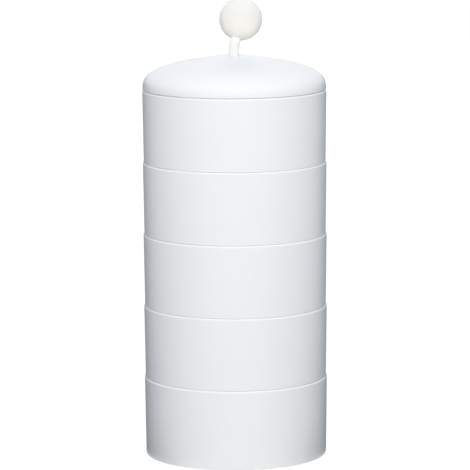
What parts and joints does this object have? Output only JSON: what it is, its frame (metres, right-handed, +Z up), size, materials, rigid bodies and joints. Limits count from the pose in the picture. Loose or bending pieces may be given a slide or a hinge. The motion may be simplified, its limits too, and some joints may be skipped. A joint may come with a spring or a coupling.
{
  "type": "tiered jewellery box",
  "caption": "Tall round jewellery box: stacked trays and a domed lid with a ball knob swing out about one upright bolt at the back.",
  "frame": {"origin": "on the table, under the middle of the box", "axes": "+Z up, front of the box towards -Y, the bolt that the tiers swing on towards +Y, ball knob leaning to +X and +Y"},
  "size_m": [0.102, 0.102, 0.2551],
  "materials": {
    "white_shell": "cool white, satin, moulded",
    "ball_white": "warm white, smooth satin",
    "stem_white": "white, satin",
    "felt": "light grey felt",
    "steel": "zinc plated",
    "nylon": "natural nylon",
    "brass": "turned",
    "foot_rubber": "dark, matt"
  },
  "bodies": {
    "base": {"base_tray": "white_shell", "base_liner": "felt", "spacer_washer_base": "nylon", "thrust_washer": "nylon", "wave_washer": "steel", "foot_1": "foot_rubber", "foot_2": "foot_rubber", "foot_3": "foot_rubber", "foot_4": "foot_rubber"},
    "tray_1": {"tray_1": "white_shell", "liner_1": "felt", "spacer_washer_1": "nylon"},
    "tray_2": {"tray_2": "white_shell", "liner_2": "felt", "spacer_washer_2": "nylon"},
    "tray_3": {"tray_3": "white_shell", "liner_3": "felt", "spacer_washer_3": "nylon"},
    "tray_4": {"tray_4": "white_shell", "liner_4": "felt", "spacer_washer_4": "nylon"},
    "lid": {"lid_shell": "white_shell", "lid_insert": "brass", "knob_stem": "stem_white", "knob_ball": "ball_white", "knob_washer": "steel", "knob_screw": "steel", "pivot_bolt": "steel"}
  },
  "joints": [
    {"name": "tray_1_swing", "type": "hinge", "parent": "base", "child": "tray_1", "pos_m": [0, 0.039, 0.16502], "axis": [0, 0, 1], "continuous": true},
    {"name": "tray_2_swing", "type": "hinge", "parent": "base", "child": "tray_2", "pos_m": [0, 0.039, 0.12489], "axis": [0, 0, 1], "continuous": true},
    {"name": "tray_3_swing", "type": "hinge", "parent": "base", "child": "tray_3", "pos_m": [0, 0.039, 0.08476], "axis": [0, 0, 1], "continuous": true},
    {"name": "tray_4_swing", "type": "hinge", "parent": "base", "child": "tray_4", "pos_m": [0, 0.039, 0.04463], "axis": [0, 0, 1], "continuous": true},
    {"name": "lid_swing", "type": "hinge", "parent": "base", "child": "lid", "pos_m": [0, 0.039, 0.20515], "axis": [0, 0, 1], "continuous": true}
  ]
}
